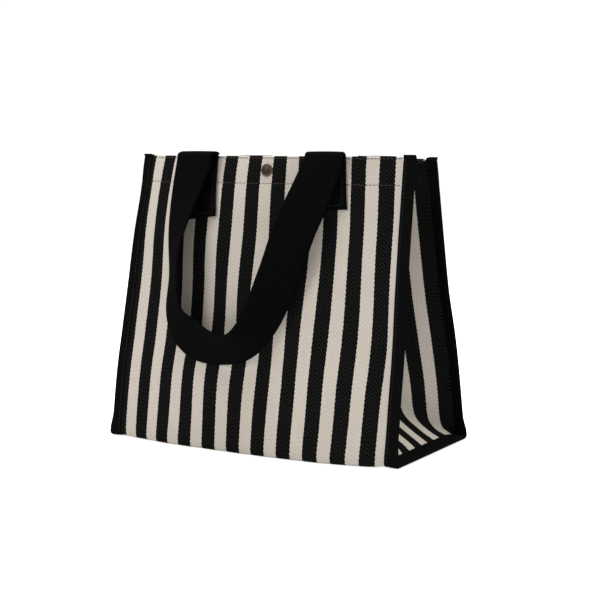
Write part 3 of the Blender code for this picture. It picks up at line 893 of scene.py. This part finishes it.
# %% Turn a profile about the snap's axis
wall_slope = math.atan(WALL_LEAN)
cap_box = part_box("front_snap_cap")
snap_x = (cap_box[0].x + cap_box[1].x) / 2
SNAP_DROP = 0.013
CAP_RADIUS = (cap_box[1].x - cap_box[0].x) / 2


def turned_piece(name, profile, face, steps=48):
    """profile is (radius, height out of the wall's face); with both its ends at the bore it is a ring."""
    snap_z = rim_z[face] - SNAP_DROP
    spot = Vector((snap_x, face * float(wall_depth(snap_x, snap_z, face)), snap_z))
    out = Vector((0, face * math.cos(wall_slope), math.sin(wall_slope)))
    side = Vector((1, 0, 0))
    up = out.cross(side)
    verts, uvs, faces = [], [], []
    for radius, height in profile:
        for k in range(steps):
            turn = 2 * math.pi * k / steps
            verts.append(spot + out * height + (side * math.cos(turn) + up * math.sin(turn)) * radius)
            uvs.append((radius * CM, height * CM))
    count = len(profile)
    closed = profile[0][0] == profile[-1][0]
    for i in range(count if closed else count - 1):
        for k in range(steps):
            a, b = i * steps + k, i * steps + (k + 1) % steps
            c, d = (i + 1) % count * steps + (k + 1) % steps, (i + 1) % count * steps + k
            faces.append((a, b, c, d))
    if not closed:
        faces.append(tuple(range(steps))[::-1])
        faces.append(tuple(range((count - 1) * steps, count * steps)))
    return face_outward(make_object(name, verts, faces, uvs, 40))


# %% The cap outside, the socket and the stud inside
hem_depth = CLOTH + 2 * HEM_TURN + 0.0002


def under_hem(*points):
    return [(radius, -hem_depth - height) for radius, height in points]


cap_profile = under_hem((0.0016, 0.0012)) + [(0.0016, 0.0001), (CAP_RADIUS * 0.90, 0.0001)]
cap_profile += [(CAP_RADIUS * 0.90 + 0.0006 * math.cos(a), 0.0008 + 0.0007 * math.sin(a))
                for a in np.linspace(-1.4, 2.4, 10)]
cap_profile += [(CAP_RADIUS * r, 0.00105 + 0.0011 * math.cos(r * math.pi / 1.7))
                for r in (0.76, 0.6, 0.4, 0.2, 0.03)]
BORE = 0.0019
socket_profile = under_hem((BORE, 0), (0.0063, 0), (0.0065, 0.0004))
socket_profile += under_hem(*((0.0056 + 0.0009 * math.cos(a), 0.0008 + 0.0009 * math.sin(a))
                              for a in np.linspace(0.2, 2.6, 7)))
socket_profile += under_hem((0.0040, 0.0011), (0.0034, 0.0024), (0.0026, 0.0026), (BORE, 0.0022))
stud_profile = under_hem((BORE, 0), (0.0063, 0), (0.0065, 0.0005), (0.0058, 0.0010), (0.0036, 0.0011),
                         (0.0030, 0.0016), (0.0030, 0.0026), (0.0033, 0.0032), (0.0029, 0.0037),
                         (BORE, 0.0037))
snap_pieces = {
    "front_snap_cap": ("front_cap", cap_profile, -1),
    "back_snap_cap": ("back_cap", cap_profile, 1),
    "front_snap_socket": ("front_socket", socket_profile, -1),
    "back_snap_stud": ("back_stud", stud_profile, 1),
}
snaps = {}
for node_name, (piece_name, profile, face) in snap_pieces.items():
    snaps[node_name] = turned_piece(piece_name, profile, face)
print("snap cap radius", round(CAP_RADIUS * 1000, 1), "mm")

# %% [markdown]
# ## Materials
# The canvas is a herringbone: in every stripe fine twill lines climb to the middle from both sides,
# like rafters. The shader works in centimetres of cloth, from the UV map: one distance across the
# stripes picks black or natural yarn, and the distance from the stripe's middle shifts the twill up
# or down. Separate yarns are a little lighter or darker than each other, as dyed cotton is.

# %% Small node helpers
class Signal:
    """A value that runs through a material's nodes; sums and products of it make Math nodes."""

    def __init__(self, tree, socket):
        self.tree, self.socket = tree, socket

    def feed(self, target):
        self.tree.links.new(self.socket, target)

    def maths(self, operation, *others):
        node = self.tree.nodes.new("ShaderNodeMath")
        node.operation = operation
        for target, value in zip(node.inputs, (self, *others)):
            set_input(target, value)
        return Signal(self.tree, node.outputs[0])

    def __add__(self, other):
        return self.maths("ADD", other)

    def __sub__(self, other):
        return self.maths("SUBTRACT", other)

    def __rsub__(self, other):
        return (self * -1.0) + other

    def __mul__(self, other):
        return self.maths("MULTIPLY", other)

    def __truediv__(self, other):
        return self.maths("DIVIDE", other)

    def __pow__(self, other):
        return self.maths("POWER", other)

    def __abs__(self):
        return self.maths("ABSOLUTE")


def set_input(target, value):
    if isinstance(value, Signal):
        value.feed(target)
    else:
        target.default_value = value


def new_material(name, roughness, specular, metallic=0.0):
    material = bpy.data.materials.new(name)
    material.use_nodes = True
    shader = material.node_tree.nodes["Principled BSDF"]
    shader.inputs["Roughness"].default_value = roughness
    shader.inputs["Specular IOR Level"].default_value = specular
    shader.inputs["Metallic"].default_value = metallic
    return material, shader


def mix_colour(factor, first, second):
    node = factor.tree.nodes.new("ShaderNodeMix")
    node.data_type = "RGBA"
    for socket, value in zip((node.inputs[0], node.inputs[6], node.inputs[7]), (factor, first, second)):
        set_input(socket, value if isinstance(value, Signal) else (*value, 1.0))
    return Signal(factor.tree, node.outputs[2])


def cloth_distances(tree):
    """The UV map, and the two distances on the cloth that it holds, in centimetres."""
    uv = tree.nodes.new("ShaderNodeUVMap")
    uv.uv_map = "cloth"
    split = tree.nodes.new("ShaderNodeSeparateXYZ")
    tree.links.new(uv.outputs[0], split.inputs[0])
    return [Signal(tree, socket) for socket in (uv.outputs[0], split.outputs[0], split.outputs[1])]


def noise(vector, scale, detail=2.0, stretch=(1, 1, 1)):
    mapping = vector.tree.nodes.new("ShaderNodeMapping")
    mapping.inputs["Scale"].default_value = stretch
    vector.feed(mapping.inputs[0])
    node = vector.tree.nodes.new("ShaderNodeTexNoise")
    node.inputs["Scale"].default_value = scale
    node.inputs["Detail"].default_value = detail
    vector.tree.links.new(mapping.outputs[0], node.inputs[0])
    return Signal(vector.tree, node.outputs[0])


def bump(shader, height, strength, distance):
    node = height.tree.nodes.new("ShaderNodeBump")
    node.inputs["Strength"].default_value = strength
    node.inputs["Distance"].default_value = distance
    height.feed(node.inputs["Height"])
    height.tree.links.new(node.outputs[0], shader.inputs["Normal"])


# %% Striped herringbone canvas
STRIPE = 1.351            # half of one black and one pale stripe, in cm
BLACK_SHARE = 0.535       # of a pair of stripes that is black
YARN = 0.075              # width of one warp yarn, in cm
TWILL_RISE = 0.37         # height of one repeat of the twill, in cm
TWILL_ENDS = 4            # yarns in one repeat
PICK = 0.2                # height of a step in the stripes' edges, in cm


def striped_canvas():
    material, shader = new_material("striped_herringbone_canvas", 1.0, 0.005)
    uv, across, along = cloth_distances(material.node_tree)
    # the edge of a stripe steps from pick to pick, and drifts
    stepped = along.maths("PINGPONG", PICK) * 0.22 + across + (STRIPE_START * CM - 0.05)
    stripes = (noise(uv, 1.6, 1.0) * 0.06 + stepped) / STRIPE
    is_cream = (stripes * 0.5).maths("FRACT").maths("GREATER_THAN", BLACK_SHARE)
    yarns = abs(stripes.maths("FRACT") - 0.5) * STRIPE / YARN
    climb = yarns.maths("FLOOR") * (1 / TWILL_ENDS) + along / TWILL_RISE
    twill = (climb * (2 * math.pi)).maths("COSINE") * 0.5 + 0.5
    hollow = 1.0 - twill
    across_yarn = abs(yarns.maths("FRACT") - 0.5)
    relief = twill * (1.0 - across_yarn ** 2.0 * 3.2)
    yarn_tone = noise(uv, 9.0, 2.0, (2.4, 0.18, 1))
    slub = noise(uv, 12.0, 2.0, (0.5, 1.6, 1))
    cloud = noise(uv, 0.28, 3.0)
    pale_part = yarn_tone * 0.9 + cloud * 0.5 + slub * 0.35 - 0.4
    cream_high = mix_colour(pale_part, (0.410, 0.370, 0.324), (0.518, 0.474, 0.421))
    # painted shade: the cream turns dark brown in the twill's hollows, where the weave lies in shade
    cream = mix_colour(hollow * 0.42, cream_high, (0.250, 0.214, 0.174))
    black_deep = mix_colour(yarn_tone, (0.0010, 0.0010, 0.0010), (0.0034, 0.0033, 0.0033))
    fleck = hollow ** 3.0 * (slub * 1.6 - 0.35)
    black = mix_colour(fleck, black_deep, (0.027, 0.027, 0.0265))
    mix_colour(is_cream, black, cream).feed(shader.inputs["Base Color"])
    bump(shader, slub * 0.3 + relief, 0.55, 0.0003)
    return material


# %% Binding tape: a close, smooth twill
def black_tape():
    material, shader = new_material("black_cotton_tape", 0.95, 0.01)
    uv, across, along = cloth_distances(material.node_tree)
    twill = ((across + along) * (2 * math.pi / 0.09)).maths("SINE")
    tone = noise(uv, 6.0, 3.0, (1, 0.3, 1))
    colour = mix_colour(tone, (0.0014, 0.0014, 0.0014), (0.0034, 0.0033, 0.0033))
    mix_colour(noise(uv, 1.1, 2.0) * 0.35, colour, (0.0060, 0.0058, 0.0056)).feed(shader.inputs["Base Color"])
    bump(shader, twill * 0.3 + tone, 0.35, 0.00025)
    return material


# %% Handle webbing: lengthwise ribs crossed by picks
def black_webbing():
    material, shader = new_material("black_cotton_webbing", 0.95, 0.012)
    uv, across, along = cloth_distances(material.node_tree)
    rib = (across * (2 * math.pi / 0.12)).maths("SINE")
    pick = (along * (2 * math.pi / 0.09)).maths("SINE")
    tone = noise(uv, 5.0, 3.0, (1.6, 0.25, 1))
    mix_colour(tone, (0.0012, 0.0012, 0.0013), (0.0034, 0.0034, 0.0034)).feed(shader.inputs["Base Color"])
    bump(shader, rib * pick * 0.25 + rib * 0.25 + tone, 0.4, 0.0003)
    return material


# %% Thread and metal
def place_noise(tree, scale, detail):
    """Noise in space, for pieces too small for a weave."""
    return noise(Signal(tree, tree.nodes.new("ShaderNodeNewGeometry").outputs["Position"]), scale, detail)


def thread_material(name, dark, light):
    material, shader = new_material(name, 0.6, 0.25)
    tone = place_noise(material.node_tree, 900.0, 2.0)
    mix_colour(tone, dark, light).feed(shader.inputs["Base Color"])
    bump(shader, tone, 0.5, 0.0001)
    return material


def dark_brass():
    """Dark metal, with a painted highlight: a lighter ring along the cap's rim."""
    material, shader = new_material("dark_antique_brass", 0.42, 0.5, 0.85)
    _, radius, _ = cloth_distances(material.node_tree)
    patina = place_noise(material.node_tree, 380.0, 4.0)
    rim = 1.0 - abs(radius - 0.56) * 9.0
    painted_rim_highlight = rim.maths("MAXIMUM", 0.0) * (patina * 0.9 + 0.2)
    colour = mix_colour(patina, (0.016, 0.012, 0.009), (0.045, 0.034, 0.024))
    # painted highlight: the colour turns lighter along the rim, broken up by the patina noise
    mix_colour(painted_rim_highlight, colour, (0.15, 0.12, 0.09)).feed(shader.inputs["Base Color"])
    (patina * 0.3 + 0.28).feed(shader.inputs["Roughness"])
    bump(shader, patina, 0.25, 0.0002)
    return material


canvas, tape_cloth, webbing, brass = striped_canvas(), black_tape(), black_webbing(), dark_brass()
brown_thread = thread_material("brown_thread", (0.026, 0.018, 0.013), (0.055, 0.039, 0.029))
black_thread = thread_material("black_thread", (0.0028, 0.0028, 0.0028), (0.0080, 0.0078, 0.0076))
for material in (canvas, tape_cloth, webbing, brass, brown_thread, black_thread):
    print(material.name, "-", len(material.node_tree.nodes), "nodes")

# %% [markdown]
# ## Materials and bodies
# Each piece gets its material, and the CAD solids that it stands for are hidden. A wall leans out about a
# hinge line near the floor.
# The base with its tapes, the handle loops, the hem and handle stitches and the snap parts are put on their
# bodies; the wall pieces with their tapes, the gusset halves and the handle ends stay fixed where they were
# built.

# %% Walls, base and tapes
BEND_FROM, BEND_TO = 0.006, 0.030


def bend_up_wall(piece, face):
    face * abs(wall_hinge.y)
    face * abs(wall_hinge.y)
    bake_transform(piece)


def finish_piece(piece, material, nodes=()):
    piece.data.materials.append(material)
    if nodes:
        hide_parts(*nodes)


for piece, word, face in ((front_cloth, "front", -1), (back_cloth, "back", 1)):
    finish_piece(piece, canvas, (f"{word}_panel", f"{word}_hem"))
    bend_up_wall(piece, face)
finish_piece(base_cloth, canvas, ("base_panel",))
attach(base_cloth, "bag_base")
for (word, side_word), (piece, _) in tapes.items():
    finish_piece(piece, tape_cloth, (f"{word}_{side_word}_binding",))
    row = tape_stitches[word, side_word]
    finish_piece(row, black_thread)
    for part in (piece, row):
        if word == "base":
            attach(part, "bag_base")
        else:
            bend_up_wall(part, -1 if word == "front" else 1)

# %% Gussets
def pleat_bend(grid, face):
    """Start and end of a zone, from the fold to the seam, on the wall side of a gusset half."""
    seam = grid[:, 0 if face < 0 else -1]
    low, high = seam[np.argmin(np.abs(seam[:, 2] - BEND_TO))], seam[-1]
    low, high = Vector((0, abs(low[1]) - 0.003, low[2])), Vector((0, abs(high[1]) - 0.0005, high[2]))
    rise = (high - low).normalized()
    outward = Vector((0, rise.z, -rise.y))
    start = low - outward * (outward.y * high.y)
    return Vector((0, face * start.y, start.z)), Vector((0, face * low.y, low.z))


for side_word, (halves, grid) in gussets.items():
    for piece, (word, face) in zip(halves, WALLS):
        nodes = [f"{side_word}_gusset_{word}_half"]
        if word == "front":
            nodes.append(f"{side_word}_gusset_foot")
        finish_piece(piece, canvas, nodes)
        start, end = pleat_bend(grid, face)
        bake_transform(piece)

# %% Handles, stitches on the walls, and the snap
END_LEAN = 0.13            # the zone leans out downwards, clear of the sewn ends on the bulge of the wall
out_of_wall = Vector((0, math.cos(wall_slope + END_LEAN), math.sin(wall_slope + END_LEAN)))
for word, face in WALLS:
    out = Vector((0, face * out_of_wall.y, out_of_wall.z))
    turn_line = Vector((0, face * abs(swing_axis.y), swing_axis.z))
    for part, piece in handles[word].items():
        if part == "loop":
            finish_piece(piece, webbing, (f"{word}_handle_loop",))
            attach(piece, f"{word}_handle")
            continue
        # turned half round, the back handle's right end is on the left
        side_word = part.split("_")[0] if face < 0 else {"left_end": "right", "right_end": "left"}[part]
        finish_piece(piece, webbing, (f"{word}_handle_{side_word}_end",))
        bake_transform(piece)
    finish_piece(hem_stitches[word], brown_thread)
    finish_piece(box_stitches[word], black_thread)
    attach(hem_stitches[word], f"{word}_wall")
    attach(box_stitches[word], f"{word}_wall")
for node_name, piece in snaps.items():
    finish_piece(piece, brass, (node_name,))
    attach(piece, node_name.split("_")[0] + "_wall")

# %% [markdown]
# ## Studio
# A white floor and a white backdrop that burn out, as for a catalogue. A soft lamp in front and to the
# left shows the weave, a broad one hangs overhead, and a third, high behind the right side, reaches
# the foot of the gusset but not its pleat, which stays a little darker.

# %% Camera
FOCAL, SENSOR = 80.96, 36.0
AZIMUTH, ELEVATION, ROLL = math.radians(29.97), math.radians(6.2), math.radians(-0.21)
DISTANCE = 1.28513
look_at = Vector((0.01303, 0.0, 0.13362))
camera_data = bpy.data.cameras.new("camera")
camera = add_object("camera", camera_data)
camera_data.lens, camera_data.sensor_width = FOCAL, SENSOR
camera_data.clip_start, camera_data.clip_end = 0.05, 60
back_way = Vector((math.sin(AZIMUTH) * math.cos(ELEVATION), -math.cos(AZIMUTH) * math.cos(ELEVATION),
                   math.sin(ELEVATION)))
camera.location = look_at + back_way * DISTANCE
camera.rotation_mode = "QUATERNION"
camera.rotation_quaternion = (-back_way).to_track_quat("-Z", "Y")
camera.rotation_quaternion.rotate(Quaternion(back_way, -ROLL))
bpy.context.scene.camera = camera

# %% Floor, world and lamps
def glow(tree, seen_by_camera, thrown, target):
    """White that looks brighter to the camera than the light that it throws on the bag."""
    camera_ray = Signal(tree, tree.nodes.new("ShaderNodeLightPath").outputs["Is Camera Ray"])
    (camera_ray * (seen_by_camera - thrown) + thrown).feed(target)


FLOOR_REACH, FLOOR_Z = 12.0, -0.0006
floor_mesh = bpy.data.meshes.new("floor")
corners = [(x * FLOOR_REACH, y * FLOOR_REACH, FLOOR_Z) for x, y in ((-1, -1), (1, -1), (1, 1), (-1, 1))]
floor_mesh.from_pydata(corners, [], [(0, 1, 2, 3)])
floor = add_object("floor", floor_mesh)
white, shader = new_material("white_floor", 1.0, 0.0)
shader.inputs["Base Color"].default_value = (0.92, 0.92, 0.92, 1.0)
shader.inputs["Emission Color"].default_value = (1.0, 1.0, 1.0, 1.0)
glow(white.node_tree, 0.75, 0.20, shader.inputs["Emission Strength"])
floor_mesh.materials.append(white)

world = bpy.data.worlds.new("studio")
bpy.context.scene.world = world
world.use_nodes = True
sky = world.node_tree.nodes["Background"]
sky.inputs["Color"].default_value = (1.0, 1.0, 1.0, 1.0)
glow(world.node_tree, 1.06, 0.31, sky.inputs["Strength"])


def soft_lamp(name, place, target, size, power):
    data = bpy.data.lights.new(name, "AREA")
    data.shape, data.size, data.energy = "SQUARE", size, power
    lamp = add_object(name, data)
    lamp.location = place
    lamp.rotation_mode = "QUATERNION"
    lamp.rotation_quaternion = (Vector(target) - Vector(place)).to_track_quat("-Z", "Y")


soft_lamp("key_lamp", (-1.3, -2.2, 1.7), (0, 0, 0.12), 1.1, 40)
soft_lamp("foot_lamp", (1.0, 0.65, 2.3), (0.1, 0, 0.0), 0.8, 27)
soft_lamp("top_lamp", (0.0, 0.0, 2.6), (0, 0, 0), 1.8, 85)
bpy.context.scene.view_settings.view_transform = "Standard"
